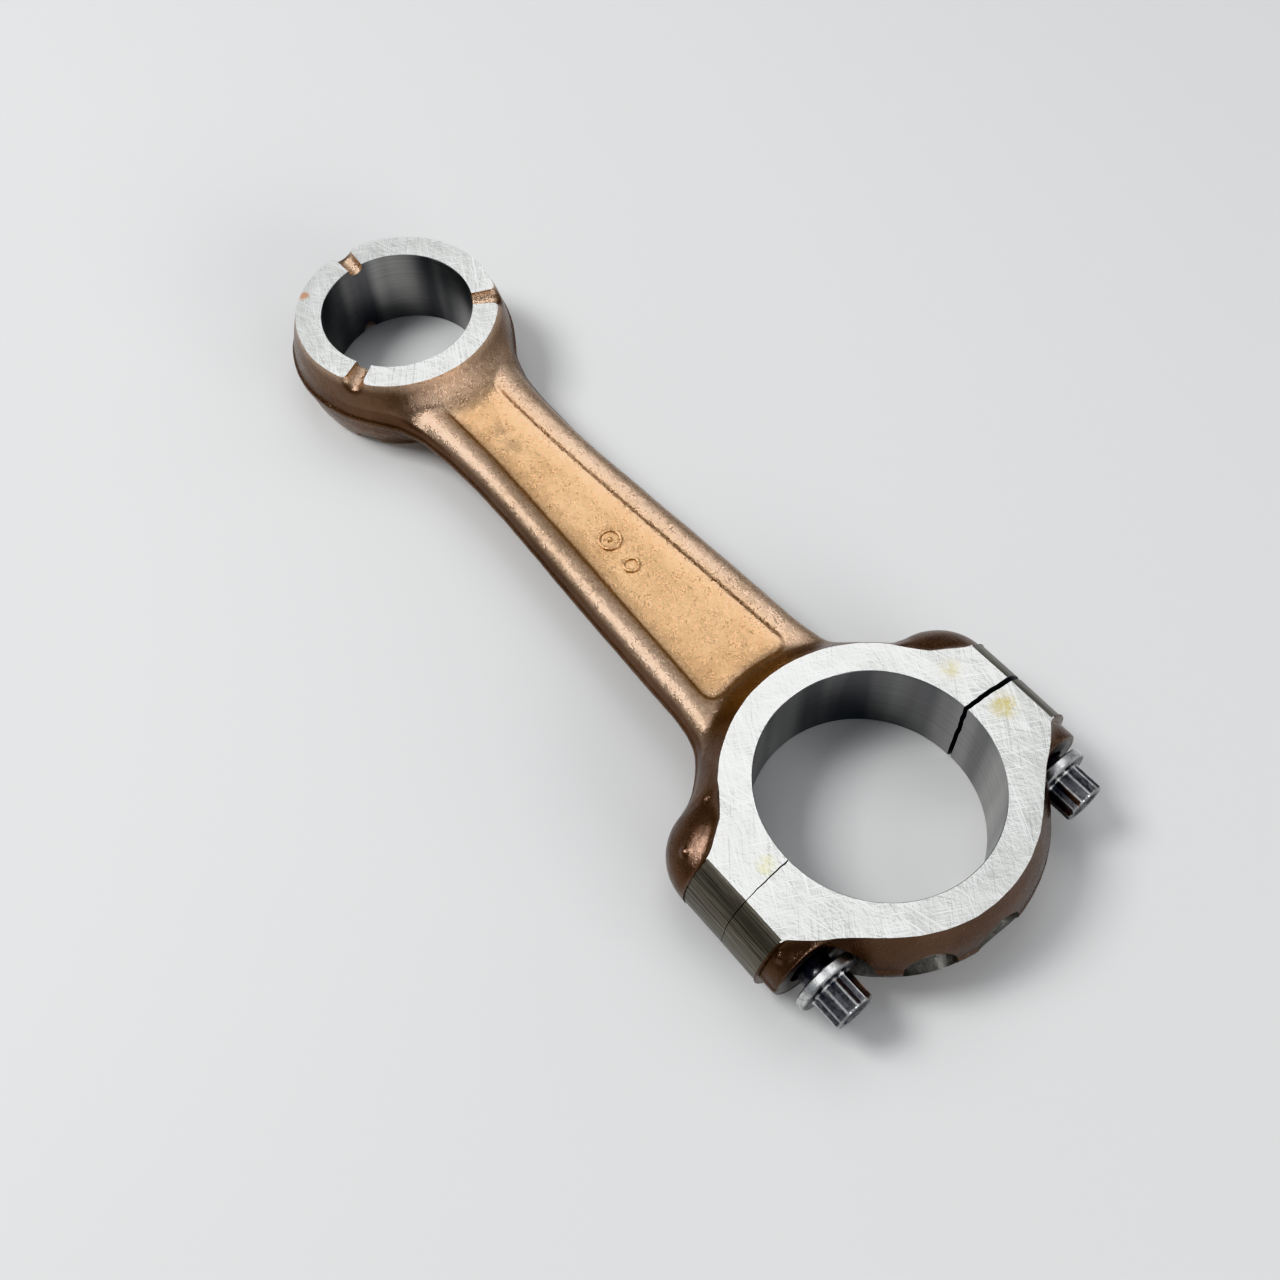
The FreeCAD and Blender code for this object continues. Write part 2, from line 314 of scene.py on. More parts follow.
def roughen(piece, layers):
    """Forging unevenness: moves the skin along its normals by a few hundredths of a millimetre."""
    mesh = piece.data
    co = coordinates(mesh)
    normals = np.empty(len(mesh.vertices) * 3, np.float32)
    mesh.vertices.foreach_get("normal", normals)
    lattice = RNG.uniform(-1, 1, LATTICE)
    shift = 0
    for i, (size, height) in enumerate(layers):
        shift = shift + height * lattice_noise(co + 11.3 * i, size, lattice)
    co -= normals.reshape(-1, 3) * shift[:, None]
    mesh.vertices.foreach_set("co", (co * MM).astype(np.float32).ravel())
    mesh.update()


# ---------------------------------------------------------------- materials

class Finish:
    """One procedural material; its textures are sized in object coordinates, in millimetres."""

    def __init__(self, name, metallic=1.0):
        self.material = bpy.data.materials.new(name)
        self.material.use_nodes = True
        self.nodes = self.material.node_tree.nodes
        self.links = self.material.node_tree.links
        self.shader = self.nodes["Principled BSDF"]
        self.shader.inputs["Metallic"].default_value = metallic

    def feed(self, socket, value):
        """Sets a socket to a number or a colour, or links it to another node's output."""
        if isinstance(value, tuple):
            socket.default_value = (*value, 1)
        elif isinstance(value, (int, float)):
            socket.default_value = value
        else:
            self.links.new(value, socket)

    def drive(self, key, value):
        self.feed(self.shader.inputs[key], value)

    def noise(self, per_mm, detail, roughness, turn=0.0):
        """Noise with per_mm cells per millimetre, all round or for X, Y and Z turned about Z."""
        coord = self.nodes.new("ShaderNodeTexCoord")
        mapping = self.nodes.new("ShaderNodeMapping")
        mapping.vector_type = "TEXTURE"
        mapping.inputs["Rotation"].default_value = (0, 0, math.radians(turn))
        cells = per_mm if isinstance(per_mm, tuple) else (per_mm,) * 3
        mapping.inputs["Scale"].default_value = [MM / c for c in cells]
        self.links.new(coord.outputs["Object"], mapping.inputs["Vector"])
        texture = self.nodes.new("ShaderNodeTexNoise")
        texture.inputs["Scale"].default_value = 1.0
        texture.inputs["Detail"].default_value = detail
        texture.inputs["Roughness"].default_value = roughness
        self.links.new(mapping.outputs["Vector"], texture.inputs["Vector"])
        return texture.outputs["Fac"]

    def levels(self, value, low, high, to_low=0.0, to_high=1.0):
        """Maps low..high of a value to to_low..to_high, and stops there."""
        node = self.nodes.new("ShaderNodeMapRange")
        for key, number in (("From Min", low), ("From Max", high), ("To Min", to_low), ("To Max", to_high)):
            node.inputs[key].default_value = number
        self.links.new(value, node.inputs["Value"])
        return node.outputs["Result"]

    def maths(self, operation, a, b):
        node = self.nodes.new("ShaderNodeMath")
        node.operation = operation
        self.feed(node.inputs[0], a)
        self.feed(node.inputs[1], b)
        return node.outputs[0]

    def mix(self, factor, a, b):
        """Colour a where the factor is 0, colour b where it is 1."""
        node = self.nodes.new("ShaderNodeMix")
        node.data_type = "RGBA"
        self.feed(node.inputs[0], factor)
        self.feed(node.inputs[6], a)
        self.feed(node.inputs[7], b)
        return node.outputs[2]

    def bump(self, height, strength, distance, normal=None):
        node = self.nodes.new("ShaderNodeBump")
        self.feed(node.inputs["Strength"], strength)
        node.inputs["Distance"].default_value = distance * MM
        self.links.new(height, node.inputs["Height"])
        if normal is not None:
            self.links.new(normal, node.inputs["Normal"])
        return node.outputs["Normal"]

    def attribute(self, name):
        node = self.nodes.new("ShaderNodeAttribute")
        node.attribute_name = name
        return node.outputs["Fac"]


# Colours, the darker one first where there are two
TAN = (0.46, 0.33, 0.232), (0.60, 0.44, 0.325)
# Bronze: a darker forging tone at the big end, also used as painted shade on the flanks.
BRONZE_AND_SHADE = (0.098, 0.066, 0.052), (0.170, 0.112, 0.084)
GOLD = (0.72, 0.45, 0.24), (0.92, 0.60, 0.335)
# The second tint darkens the copper: real stains in two web patches, and painted shade along the rib feet,
# round the web marks' feet and over the cap.
COPPER_SPECK, STAIN_AND_SHADE = (0.20, 0.11, 0.065), (0.098, 0.074, 0.063)
GROUND, PIT = ((0.60, 0.605, 0.58), (0.76, 0.765, 0.735)), (0.24, 0.24, 0.23)
DULL_SCRATCH, BRIGHT_SCRATCH = (0.36, 0.36, 0.35), (0.95, 0.95, 0.94)
# Bore: dark and light tones of painted reflection bands along the bore, then the colour of its fine rings.
BORE_REFLECTION_TONES, RING_MARK = ((0.20, 0.20, 0.205), (0.56, 0.555, 0.54)), (0.16, 0.16, 0.165)
MILLED = (0.06, 0.055, 0.045), (0.24, 0.225, 0.19)
OXIDE, WORN = ((0.055, 0.055, 0.06), (0.19, 0.19, 0.20)), (0.78, 0.78, 0.77)
FLOOR = (0.63, 0.63, 0.625)

# Stains on the top faces: (centre, radius, tint, strength)
STAINS = (((29.0, -4.2, 9.9), 3.6, (0.56, 0.47, 0.16), 0.9),
          ((27.0, 7.9, 9.9), 2.8, (0.60, 0.54, 0.30), 0.7),
          ((-26.6, 0.9, 9.9), 2.4, (0.62, 0.58, 0.26), 0.7),
          ((-14.0, 171.3, 9.9), 1.7, (0.60, 0.36, 0.24), 1.6))


def copper():
    """Copper plate over a blasted forging: golden in the web, tan on the ribs, bronze at the big end and on
    the flanks, that bronze being partly painted shade; painted shade also darkens the rib feet, the marks'
    feet and the cap.
    """
    m = Finish("copper_plate")
    grain = m.noise(3.2, detail=2.0, roughness=0.55)
    blast = m.noise(4.0, detail=1.0, roughness=0.5)
    coarse = m.noise(0.55, detail=3.0, roughness=0.6)
    drift = m.levels(m.noise((0.08, 0.055, 0.08), detail=3.0, roughness=0.55), 0.35, 0.65)
    forged = m.mix(m.attribute("boss"), m.mix(drift, *TAN), m.mix(drift, *BRONZE_AND_SHADE))
    plate = m.mix(m.attribute("web"), forged, m.mix(drift, *GOLD))
    speckled = m.mix(m.levels(grain, 0.36, 0.62, 0.36, 0.0), plate, COPPER_SPECK)
    # Painted shade and real stains: the last mask darkens the copper towards the second tint.
    m.drive("Base Color", m.mix(m.attribute("stain_and_shade"), speckled, STAIN_AND_SHADE))
    m.drive("Roughness", m.levels(coarse, 0.3, 0.7, 0.24, 0.32))
    blasted = m.bump(blast, m.levels(m.attribute("boss"), 0.0, 1.0, 1.0, 0.45), 0.16)
    m.drive("Normal", m.bump(coarse, 0.5, 0.14, blasted))
    return m.material


def spot(m, colour, clumps, centre, radius, tint, strength):
    """Stain of the given tint round a point, broken up into clumps."""
    coord = m.nodes.new("ShaderNodeTexCoord")
    gap = m.nodes.new("ShaderNodeVectorMath")
    gap.operation = "DISTANCE"
    gap.inputs[1].default_value = [c * MM for c in centre]
    m.links.new(coord.outputs["Object"], gap.inputs[0])
    near = m.levels(gap.outputs["Value"], radius * MM, 0.35 * radius * MM, 0.0, strength)
    return m.mix(m.maths("MULTIPLY", near, clumps), colour, tint)


def scratches(m, turns, across, along):
    """Straight scratches: the highest of one stretched noise for each direction in turns."""
    highest = None
    for i, turn in enumerate(turns):
        stretch = (across + 0.6 * i, along + 0.03 * i, 0.3)     # each direction a little finer
        lines = m.noise(stretch, detail=3.0, roughness=0.6, turn=turn)
        highest = lines if highest is None else m.maths("MAXIMUM", highest, lines)
    return highest


def ground_steel():
    """Surface-ground faces: scratches that cross each other, small pits and a few oil stains."""
    m = Finish("ground_face")
    bright = scratches(m, (-28, 14, 61), across=5.0, along=0.045)
    dull = scratches(m, (-40, -12, 38), across=4.4, along=0.045)
    cloud = m.noise(0.16, detail=5.0, roughness=0.65)
    pits = m.noise((1.1, 0.9, 1.0), detail=6.0, roughness=0.75)
    colour = m.mix(m.levels(cloud, 0.35, 0.65), *GROUND)
    colour = m.mix(m.levels(dull, 0.52, 0.68, 0.0, 0.9), colour, DULL_SCRATCH)
    colour = m.mix(m.levels(bright, 0.54, 0.68, 0.0, 0.9), colour, BRIGHT_SCRATCH)
    pitted = m.maths("MULTIPLY", m.levels(pits, 0.58, 0.70), m.levels(cloud, 0.48, 0.62, 0.0, 0.8))
    colour = m.mix(pitted, colour, PIT)
    clumps = m.levels(m.noise(0.45, detail=3.0, roughness=0.6), 0.36, 0.60)
    for stain in STAINS:
        colour = spot(m, colour, clumps, *stain)
    m.drive("Base Color", colour)
    m.drive("Roughness", m.levels(bright, 0.45, 0.72, 0.42, 0.30))
    m.drive("Normal", m.bump(bright, 0.7, 0.022, m.bump(dull, 0.7, 0.022)))
    return m.material


def bore_steel():
    """Bearing track: fine rings round the bore over dark and light bands painted along it as reflections.
    """
    m = Finish("bearing_track")
    rings = m.noise((0.02, 0.02, 4.0), detail=5.0, roughness=0.7)
    # Painted reflection: broad dark and light bands running the length of the bore.
    reflection_bands = m.noise((0.085, 0.085, 0.008), detail=2.0, roughness=0.5)
    tone = m.mix(m.levels(reflection_bands, 0.36, 0.64), *BORE_REFLECTION_TONES)
    m.drive("Base Color", m.mix(m.levels(rings, 0.35, 0.60, 0.30, 0.0), tone, RING_MARK))
    m.drive("Roughness", m.levels(rings, 0.3, 0.7, 0.36, 0.28))
    m.drive("Normal", m.bump(rings, 0.25, 0.02))
    return m.material


def side_steel():
    """Milled joint sides: streaks along Y, darker than the ground faces."""
    m = Finish("milled_side")
    streaks = m.noise((4.5, 0.05, 4.5), detail=5.0, roughness=0.7)
    m.drive("Base Color", m.mix(m.levels(streaks, 0.36, 0.62), *MILLED))
    m.drive("Roughness", m.levels(streaks, 0.3, 0.7, 0.42, 0.28))
    m.drive("Normal", m.bump(streaks, 0.5, 0.08))
    return m.material


def plain_steel(name, tone, rough, per_mm, grain_bump):
    """Even grey steel with a light grain."""
    m = Finish(name)
    grain = m.noise(per_mm, detail=5.0, roughness=0.65)
    darker = tuple(0.55 * t for t in tone)
    m.drive("Base Color", m.mix(m.levels(grain, 0.33, 0.66), darker, tone))
    m.drive("Roughness", m.levels(grain, 0.3, 0.7, rough + 0.08, rough - 0.05))
    m.drive("Normal", m.bump(grain, 0.5, grain_bump))
    return m.material


def screw_steel():
    """Black oxide worn to bright steel on the points and the flange rim."""
    m = Finish("black_oxide")
    grain = m.noise(1.1, detail=6.0, roughness=0.7)
    patchy = m.maths("MULTIPLY", m.attribute("worn"), m.levels(grain, 0.30, 0.55, 0.35, 1.0))
    m.drive("Base Color", m.mix(patchy, m.mix(m.levels(grain, 0.35, 0.65), *OXIDE), WORN))
    m.drive("Roughness", m.levels(grain, 0.3, 0.7, 0.42, 0.24))
    m.drive("Normal", m.bump(grain, 0.35, 0.05))
    return m.material


def floor_material():
    m = Finish("pale_floor", metallic=0.0)
    m.drive("Base Color", FLOOR)
    m.drive("Roughness", 0.65)
    return m.material


SCREW_STEEL = screw_steel()
SKIN, FACE, TRACK, SIDE, CRACK, DRILLED, SEAT = range(7)
STEELS = [copper(), ground_steel(), bore_steel(), side_steel(),
          plain_steel("fracture", (0.30, 0.30, 0.31), rough=0.55, per_mm=2.2, grain_bump=0.25),
          plain_steel("drilled", (0.62, 0.61, 0.59), rough=0.30, per_mm=0.9, grain_bump=0.05),
          # The spot face's darker grey is painted shade under the screw flanges.
          plain_steel("spot_face", (0.30, 0.29, 0.28), rough=0.38, per_mm=1.2, grain_bump=0.06)]


# ---------------------------------------------------------------- cutting tools

def mesh_object(name, vertices, faces, material_index):
    """Closed solid from vertices in millimetres, all its faces in one of the STEELS."""
    mesh = bpy.data.meshes.new(name)
    mesh.from_pydata([tuple(c * MM for c in v) for v in vertices], [], faces)
    give_steels(mesh)
    mesh.polygons.foreach_set("material_index", [material_index] * len(mesh.polygons))
    mesh.update()
    outward(mesh)
    return linked(name, mesh)


def outward(mesh):
    shell = bmesh.new()
    shell.from_mesh(mesh)
    bmesh.ops.recalc_face_normals(shell, faces=shell.faces)
    if shell.calc_volume(signed=True) < 0:
        bmesh.ops.reverse_faces(shell, faces=shell.faces)
    shell.to_mesh(mesh)
    shell.free()


def lathe(name, profile, material_index, segments=256, axis="Z"):
    """Closed solid turned from (radius, height) points whose ends lie on the axis."""
    rows, vertices, faces = [], [], []
    for radius, height in profile:
        if radius < 1e-9:
            rows.append([len(vertices)])
            vertices.append((0, 0, height))
        else:
            rows.append(list(range(len(vertices), len(vertices) + segments)))
            for s in range(segments):
                a = 2 * math.pi * s / segments
                vertices.append((radius * math.cos(a), radius * math.sin(a), height))
    for low, high in zip(rows, rows[1:]):
        for s in range(segments):
            n = (s + 1) % segments
            ring = [low[s % len(low)], low[n % len(low)], high[n % len(high)], high[s % len(high)]]
            faces.append(list(dict.fromkeys(ring)))
    if axis == "Y":
        vertices = [(x, z, -y) for x, y, z in vertices]
    if axis == "X":
        vertices = [(z, x, y) for x, y, z in vertices]
    return mesh_object(name, vertices, faces, material_index)


def box_tool(name, low, high, material_index):
    corners = [(x, y, z) for x in (low[0], high[0]) for y in (low[1], high[1]) for z in (low[2], high[2])]
    faces = [(0, 1, 3, 2), (4, 6, 7, 5), (0, 4, 5, 1), (2, 3, 7, 6), (0, 2, 6, 4), (1, 5, 7, 3)]
    return mesh_object(name, corners, faces, material_index)


def prism_tool(name, outline, y_low, y_high, material_index):
    """Prism along Y over a closed outline of (x, z) points."""
    n = len(outline)
    vertices = [(x, y, z) for y in (y_low, y_high) for x, z in outline]
    faces = [list(range(n))[::-1], list(range(n, 2 * n))]
    faces += [(i, (i + 1) % n, n + (i + 1) % n, n + i) for i in range(n)]
    return mesh_object(name, vertices, faces, material_index)


def placed(piece, x=0.0, y=0.0, z=0.0, turn=0.0):
    """Turns a piece's mesh about Z by degrees, then moves it by millimetres."""
    move = Matrix.Translation((x * MM, y * MM, z * MM))
    piece.data.transform(move @ Matrix.Rotation(math.radians(turn), 4, "Z"))
    return piece


def cut(piece, tool, operation="DIFFERENCE"):
    """Cuts a piece with a tool, or joins them, and uses the tool up."""
    modifier = piece.modifiers.new("cut", "BOOLEAN")
    modifier.object = tool
    modifier.operation = operation
    modifier.solver = "MANIFOLD"
    modifier.material_mode = "INDEX"
    graph = bpy.context.evaluated_depsgraph_get()
    result = bpy.data.meshes.new_from_object(piece.evaluated_get(graph), preserve_all_data_layers=True,
                                             depsgraph=graph)
    piece.modifiers.clear()
    if not len(result.polygons):
        raise RuntimeError("the cut with " + tool.name + " left nothing")
    old, piece.data, spent = piece.data, result, tool.data
    bpy.data.objects.remove(tool)
    for mesh in (old, spent):
        bpy.data.meshes.remove(mesh)


def cut_bore(piece, radius, y):
    """Bore with a small chamfer at both ground faces."""
    wide, end, out = radius + CHAMFER, HALF - CHAMFER, HALF + 4
    profile = [(0, -out), (wide, -out), (wide, -HALF), (radius, -end),
               (radius, end), (wide, HALF), (wide, out), (0, out)]
    cut(piece, placed(lathe("track", profile, TRACK, 360), y=y))


def grind_faces(piece):
    """Cuts both thrust faces flat."""
    for low, high in ((HALF, HALF + 8), (-HALF - 8, -HALF)):
        cut(piece, box_tool("surface_grinder", (-60, -50, low), (60, 190, high), FACE))


def side_cutter(sign, y_low, y_high):
    """Leaves the convex ground side of the joint: everything outside a barrel along Y."""
    near, far, tall = BOSS_X + 3.6, BOSS_X + 40, 20.0
    angles = np.radians(np.linspace(-72, 72, 73))
    arc = [(BOSS_X + BOSS_R * math.cos(a), BOSS_R * math.sin(a)) for a in angles]
    corners = [(near, tall), (far, tall), (far, -tall), (near, -tall)]
    outline = [(sign * x, z) for x, z in arc + corners]
    return prism_tool("side_cutter", outline, y_low, y_high, SIDE)


# The fracture line over the thrust faces as (x, y), and the box it is made in
FRACTURE = [(-46.0, -1.9), (-39.3, -1.7), (-34.4, -1.5), (-28.0, -0.9), (-23.0, -0.6), (0.0, -0.1),
            (23.0, 0.3), (28.0, 0.1), (34.4, -0.4), (39.3, -0.7), (46.0, -0.8)]
FRACTURE_HALF_X, FRACTURE_HALF_Z, FRACTURE_STEP = 46, 14, 0.5
FRACTURE_LATTICE = np.random.default_rng(3).uniform(-1, 1, LATTICE)


def fracture_tool(toward):
    """Solid on one side of the fracture surface; toward is +1 for the rod side, -1 for the cap side."""
    xs = np.arange(-FRACTURE_HALF_X, FRACTURE_HALF_X + 0.01, FRACTURE_STEP)
    zs = np.arange(-FRACTURE_HALF_Z, FRACTURE_HALF_Z + 0.01, FRACTURE_STEP)
    x, z = (grid.ravel() for grid in np.meshgrid(xs, zs, indexing="ij"))
    points = np.stack([x, np.zeros(x.size), z], axis=1)
    y = np.interp(x, *np.transpose(FRACTURE))
    for height, size in ((0.14, 2.6), (0.07, 1.0)):
        y = y + height * lattice_noise(points, size, FRACTURE_LATTICE)
    nx, nz, half = len(xs), len(zs), x.size
    vertices = list(zip(x, y, z)) + [(a, toward * OUTSIDE, c) for a, c in zip(x, z)]

    def at(i, j):
        return i * nz + j
    faces = []
    for i in range(nx - 1):
        for j in range(nz - 1):
            quad = (at(i, j), at(i + 1, j), at(i + 1, j + 1), at(i, j + 1))
            faces += [quad, tuple(half + v for v in quad[::-1])]
    border = [at(i, 0) for i in range(nx)] + [at(nx - 1, j) for j in range(1, nz)]
    border += [at(i, nz - 1) for i in range(nx - 2, -1, -1)] + [at(0, j) for j in range(nz - 2, 0, -1)]
    for a, b in zip(border, border[1:] + border[:1]):
        faces.append((b, a, half + a, half + b))
    return mesh_object("fracture", vertices, faces, CRACK)


# ---------------------------------------------------------------- pieces

def flats_of_rod(x, y):
    """What the rod's field needs that is the same at every z."""
    height = beam_height(x, y)
    gx, gy = np.gradient(height, VOXEL)
    width = smooth_width(y)
    return {"height": height, "steep": np.sqrt(1 + np.clip(gx ** 2 + gy ** 2, 0, 4)),
            "width": width, "slope": 1 / np.sqrt(1 + np.gradient(width, VOXEL, axis=1) ** 2),
            "face": outline_distance(mirrored(FACE_ROD), x, y)}


def flats_of_cap(x, y):
    return {"face": outline_distance(mirrored(FACE_CAP), x, y)}


def torus(name, ring, wire):
    """Raised ring for a forging mark; ring 0 gives a plain pip."""
    if ring == 0:
        bulge = [(wire * math.cos(a), wire * math.sin(a)) for a in np.radians(range(-75, 76, 15))]
        return lathe(name, [(0, -wire)] + bulge + [(0, wire)], SKIN, 48)
    around, section = 72, 24
    vertices, faces = [], []
    for i in range(around):
        for j in range(section):
            a, b = 2 * math.pi * i / around, 2 * math.pi * j / section
            r = ring + wire * math.cos(b)
            vertices.append((r * math.cos(a), r * math.sin(a), wire * math.sin(b)))
            n, m = (i + 1) % around, (j + 1) % section
            faces.append((i * section + j, n * section + j, n * section + m, i * section + m))
    return mesh_object(name, vertices, faces, SKIN)


def build_rod():
    top = 11.2 + VOXEL
    rod = field_mesh("rod_forging", rod_field, (-43, -5.2, 0), (43, 181, top), flats_of_rod)
    roughen(rod, ((7.0, 0.06), (3.0, 0.035), (1.3, 0.02)))
    cut(rod, fracture_tool(-1))
    grind_faces(rod)
    cut_bore(rod, BIG_R, 0)
    cut_bore(rod, SMALL_R, CENTRES)
    for sign in (1, -1):
        cut(rod, side_cutter(sign, -10, GROUND_SIDE[1]))
        profile = [(0, -20), (TAP_R, -20), (TAP_R, TAP_Y), (0, TAP_TIP)]
        cut(rod, placed(lathe("tapped", profile, DRILLED, 64, axis="Y"), x=sign * SCREW_X))
    for x, y, ring, wire in WEB_MARKS:
        cut(rod, placed(torus("mark", ring, wire), x, y, MARK_Z), "UNION")
    return rod


def build_cap():
    top = 11.2 + VOXEL
    cap = field_mesh("cap_forging", cap_field, (-43, -36, 0), (43, 3, top), flats_of_cap)
    roughen(cap, ((6.0, 0.07), (3.0, 0.04), (1.3, 0.02)))
    cut(cap, fracture_tool(1))
    grind_faces(cap)
    cut_bore(cap, BIG_R, 0)
    chamfer = 0.5
    for sign in (1, -1):
        cut(cap, side_cutter(sign, GROUND_SIDE[0], 10))
        profile = [(0, -50), (SEAT_R, -50), (SEAT_R, SEAT_Y - chamfer),
                   (SEAT_R - chamfer, SEAT_Y), (0, SEAT_Y)]
        cut(cap, placed(lathe("seat", profile, SEAT, 128, axis="Y"), x=sign * SCREW_X))
        profile = [(0, -50), (CLEARANCE_R, -50), (CLEARANCE_R, 10), (0, 10)]
        cut(cap, placed(lathe("hole", profile, DRILLED, 64, axis="Y"), x=sign * SCREW_X))
    for angle in DRILL_ANGLES:
        cut(cap, placed(lathe("drill", DRILL_PROFILE, DRILLED, 96, axis="X"), turn=angle))
    return placed(cap, y=-CAP_GAP, turn=CAP_TILT)


# Outline of a screw as (height over its flange face, radius), from the tip towards the drive
SCREW_LENGTH, PITCH, ROOT_R, STAR_R = 30.0, 1.25, 3.35, 4.39
SCREW_TIP = [(SCREW_LENGTH, 0.0), (SCREW_LENGTH, 2.6), (29.3, 3.3)]
SHANK_AND_FLANGE = [(11.6, 3.45), (0.9, 3.45), (0.35, 3.6), (0.0, 4.1), (0.0, 5.9), (-0.12, 6.35),
                    (-0.4, 6.58), (-1.75, 6.6), (-2.05, 6.45), (-2.2, 6.1), (-2.32, 4.75)]
TWELVE_POINT = [(-2.42, 4.62), (-2.7, 4.45), (-3.0, STAR_R), (-8.1, STAR_R), (-8.3, 4.25), (-8.5, 4.02)]
DIMPLE = [(-8.5, 2.9), (-8.2, 2.5)]


def star_radius(angle):
    """Twelve-point section: two hexagons turned by 30 degrees, 7.65 across the flats."""
    turns = [(math.degrees(angle) + turn + 30) % 60 - 30 for turn in (0, 30)]
    return min(max(7.65 / 2 / math.cos(math.radians(a)) for a in turns), STAR_R)


def thread_radius(phase):
    """Rounded 60-degree thread, phase running 0 to 1 along one pitch."""
    t = abs((phase % 1.0) - 0.5) * 2
    return 3.93 - 0.62 * min(max((t - 0.12) / 0.70, 0), 1)


def screw_radius(kind, height, radius, turn):
    """Radius of a screw's outline after a given part of one turn about its axis."""
    if kind == "thread":
        fade = max(min(1.0, (29.9 - height) / 1.2, (height - 11.6) / 1.6), 0.0)
        return ROOT_R + (thread_radius(height / PITCH + turn) - ROOT_R) * fade
    if kind == "round":
        return radius
    star = star_radius(2 * math.pi * turn)
    return min(star, radius) if radius < 4.42 else star + radius - STAR_R


def build_screw(name, x, flange_y):
    """Blackened flange screw with its flange face at flange_y and its drive towards -Y."""
    segments = 240 if FINE else 120
    threaded = [(float(h), None) for h in np.arange(29.2, 12.0, -0.12 if FINE else -0.3)]
    rows = [(kind, height, radius) for kind, part in (
        ("round", SCREW_TIP), ("thread", threaded), ("round", SHANK_AND_FLANGE),
        ("star", TWELVE_POINT), ("round", DIMPLE)) for height, radius in part]
    vertices, faces = [], []
    for kind, height, radius in rows:
        for s in range(segments):
            a = 2 * math.pi * s / segments
            r = screw_radius(kind, height, radius, s / segments)
            vertices.append((x + r * math.cos(a), flange_y + height, r * math.sin(a)))
    for k in range(len(rows) - 1):
        for s in range(segments):
            n = (s + 1) % segments
            here, there = k * segments, (k + 1) * segments
            faces.append((here + s, here + n, there + n, there + s))
    faces.append([(len(rows) - 1) * segments + s for s in range(segments)])
    screw = mesh_object(name, vertices, faces, 0)
    shell = bmesh.new()
    shell.from_mesh(screw.data)
    bmesh.ops.remove_doubles(shell, verts=shell.verts, dist=1e-7)
    bmesh.ops.recalc_face_normals(shell, faces=shell.faces)
    shell.to_mesh(screw.data)
    shell.free()
    screw.data.materials.clear()
    screw.data.materials.append(SCREW_STEEL)
    co = coordinates(screw.data)
    out, up = np.hypot(co[:, 0] - x, co[:, 2]), co[:, 1] - flange_y
    points = 0.85 * ramp(4.22, 4.38, out) * (up < -2.4) + 0.5 * ramp(3.6, 4.0, out) * (up < -8.2)
    flange, thread = 0.8 * ramp(6.3, 6.55, out), 0.8 * ramp(3.75, 3.9, out) * (up > 11)
    paint(screw, {"worn": points + flange + thread})
    return screw


def finish_surface(piece, angle):
    """Smooth shading that stays crisp at every machined edge."""
    mesh = piece.data
    shell = bmesh.new()
    shell.from_mesh(mesh)
    for edge in shell.edges:
        faces = edge.link_faces
        edge.smooth = (len(faces) == 2 and faces[0].material_index == faces[1].material_index
                       and edge.calc_face_angle(0) < math.radians(angle))
    for face in shell.faces:
        face.smooth = True
    shell.to_mesh(mesh)
    shell.free()


def paint(piece, masks):
    """Stores one value from 0 to 1 per vertex under each key, for the materials to read."""
    for key, values in masks.items():
        layer = piece.data.attributes.new(key, "FLOAT", "POINT")
        layer.data.foreach_set("value", np.clip(values, 0, 1).astype(np.float32))


def rod_masks(piece):
    """Where the copper is golden (web), bronze (boss; on the beam's and eye's flanks this is painted
    shade), or darkened: painted shade along the rib feet and round the marks' feet, real stains in two
    patches.
    """
    x, y, z = coordinates(piece.data).T
    depth, inside = into_pocket(x, y), smooth_width(y) - np.abs(x)
    r, r_small = np.hypot(x, y), np.hypot(x, y - CENTRES)
    between = ramp(32.5, 38.5, r) * ramp(24.5, 32.0, r_small) * (y > 20) * (y < 150)
    # Painted shade: the beam's side walls near mid thickness go bronze.
    wall = ramp(3.9, 2.6, np.abs(z)) * ramp(1.6, 0.5, inside)
    # Painted shade: the eye's flanks near mid thickness go bronze.
    eye = 0.9 * ramp(10.4, 7.6, np.abs(z)) * ramp(125, 136, y) * ramp(21.5, 23.0, r_small)
    # Painted shade along the foot of each rib and down its inner slope.
    rib_foot_shade = 0.32 * np.exp(-((depth - 0.1) / 0.45) ** 2) + 0.25 * np.exp(-((depth + 0.6) / 1.2) ** 2)
    patch, outline = 0, 0
    for a, b in ((-0.2, 116.2), (-0.7, 111.0)):
        patch = patch + np.exp(-(((x - a) / 2.0) ** 2 + ((y - b) / 2.6) ** 2) ** 2)
    # Painted shade in a band round the foot of each raised web mark.
    for a, b, ring, wire in WEB_MARKS:
        outline = outline + np.exp(-((np.hypot(x - a, y - b) - ring) / (wire + 0.25)) ** 2)
    outline = outline * ramp(WEB_Z + 0.42, WEB_Z + 0.20, z)
    return {"web": ramp(-2.4, 2.4, depth) * between,
            "boss": ramp(37.5, 30.5, r) + ramp(28, 21, y) + wall + eye,
            "stain_and_shade": rib_foot_shade * between + (0.32 * patch + 0.45 * outline) * (z > 0)}


def cap_masks(piece):
    """The whole cap is bronze and darkened at half strength by painted shade."""
    count = len(piece.data.vertices)
    return {"web": np.zeros(count), "boss": np.ones(count), "stain_and_shade": np.full(count, 0.50)}


def flange_face(node):
    """The height of a screw's flange face along Y, from the CAD screw's tip."""
    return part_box(node)[1].y / MM - SCREW_LENGTH


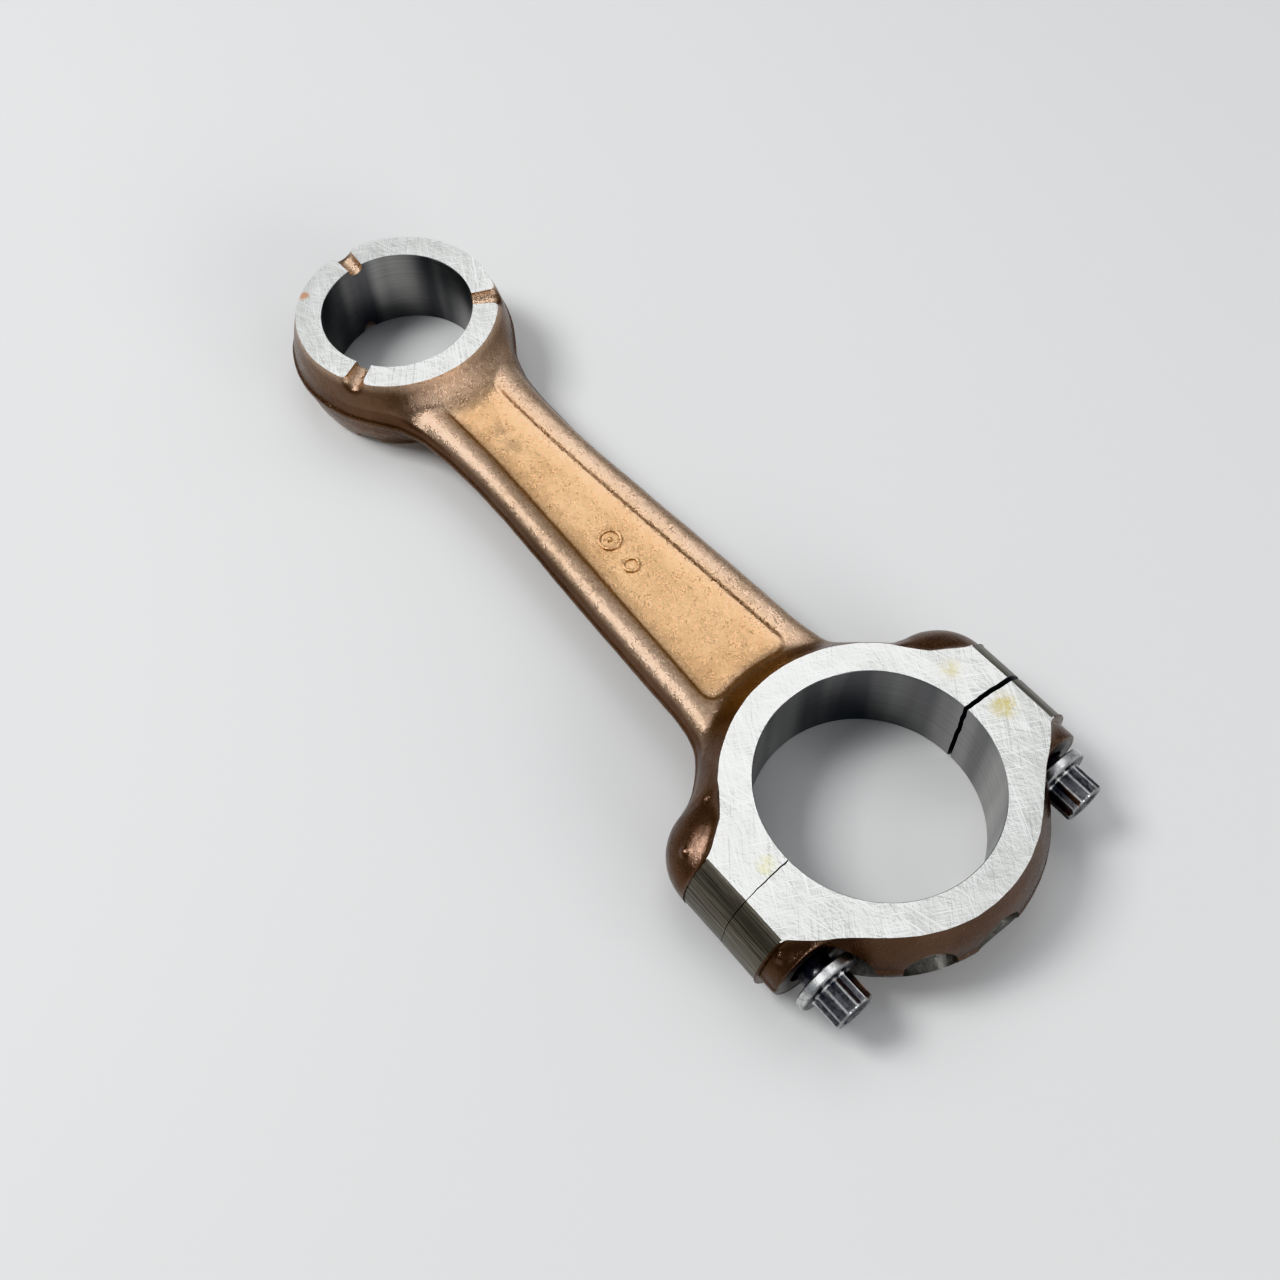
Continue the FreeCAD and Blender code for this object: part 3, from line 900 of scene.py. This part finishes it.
rod, cap = build_rod(), build_cap()
for piece, masks in ((rod, rod_masks), (cap, cap_masks)):
    finish_surface(piece, 33)
    paint(piece, masks(piece))
left = build_screw("screw_left", -SCREW_X, flange_face("cap_screw_left"))
right = build_screw("screw_right", SCREW_X, flange_face("cap_screw_right"))
for screw in (left, right):
    screw.data.polygons.foreach_set("use_smooth", [True] * len(screw.data.polygons))
    screw.data.set_sharp_from_angle(angle=math.radians(18))

RIDES = ((rod, "rod", "rod_body", "copper_plated_forging"),
         (cap, "cap", "big_end_cap", "copper_plated_cap"),
         (left, "screw_left", "cap_screw_left", "black_screw"),
         (right, "screw_right", "cap_screw_right", "black_screw"))
for piece, body, node, slot in RIDES:
    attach(piece, body)
    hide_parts(node)


# ---------------------------------------------------------------- floor, light and camera

def stage_floor():
    mesh = bpy.data.meshes.new("floor")
    z = -HALF * MM - 0.0001
    mesh.from_pydata([(-4, -4, z), (4, -4, z), (4, 4, z), (-4, 4, z)], [], [(0, 1, 2, 3)])
    mesh.materials.append(floor_material())
    linked("floor", mesh)


def towards(azimuth, elevation):
    a, e = math.radians(azimuth), math.radians(elevation)
    return Vector((math.sin(a) * math.cos(e), -math.cos(a) * math.cos(e), math.sin(e)))


def softbox(name, azimuth, elevation, distance, size, power):
    """Area light aimed at the middle of the rod."""
    middle = Vector((0, 0.07, 0))
    away = towards(azimuth, elevation)
    light = bpy.data.lights.new(name, "AREA")
    light.shape = "RECTANGLE"
    light.size, light.size_y = size
    light.energy = power
    lamp = linked(name, light)
    lamp.location = middle + away * distance
    lamp.rotation_euler = away.to_track_quat("Z", "Y").to_euler()


def camera():
    """The photo's own viewpoint, from the fit of both bores and the ground faces."""
    at, back, roll = (-0.1004, -0.0595, 0.2447), towards(-38.10, 59.36), math.radians(-2.03)
    across = Vector((0, 0, 1)).cross(back).normalized()
    up = back.cross(across)
    right = across * math.cos(roll) + up * math.sin(roll)
    upward = up * math.cos(roll) - across * math.sin(roll)
    data = bpy.data.cameras.new("camera")
    data.sensor_width, data.lens = 36.0, 39.63
    data.shift_x, data.shift_y = -0.0014, 0.0045
    data.clip_start, data.clip_end = 0.01, 20
    eye = linked("camera", data)
    eye.matrix_world = Matrix.Translation(at) @ Matrix((right, upward, back)).transposed().to_4x4()
    bpy.context.scene.camera = eye


def studio_world():
    world = bpy.data.worlds.new("studio")
    world.use_nodes = True
    background = world.node_tree.nodes["Background"]
    background.inputs["Color"].default_value = (0.80, 0.84, 0.90, 1)
    background.inputs["Strength"].default_value = 0.32
    bpy.context.scene.world = world


stage_floor()
softbox("overhead", 138, 60, distance=1.1, size=(0.75, 0.75), power=3.05)
softbox("key", -138, 53, distance=1.2, size=(0.45, 0.45), power=11.0)
softbox("rim", 70, 30, distance=1.0, size=(0.4, 0.9), power=1.0)
softbox("front", 6, 20, distance=1.0, size=(0.7, 0.35), power=5.0)
studio_world()
bpy.context.scene.view_settings.view_transform = "Khronos PBR Neutral"
camera()
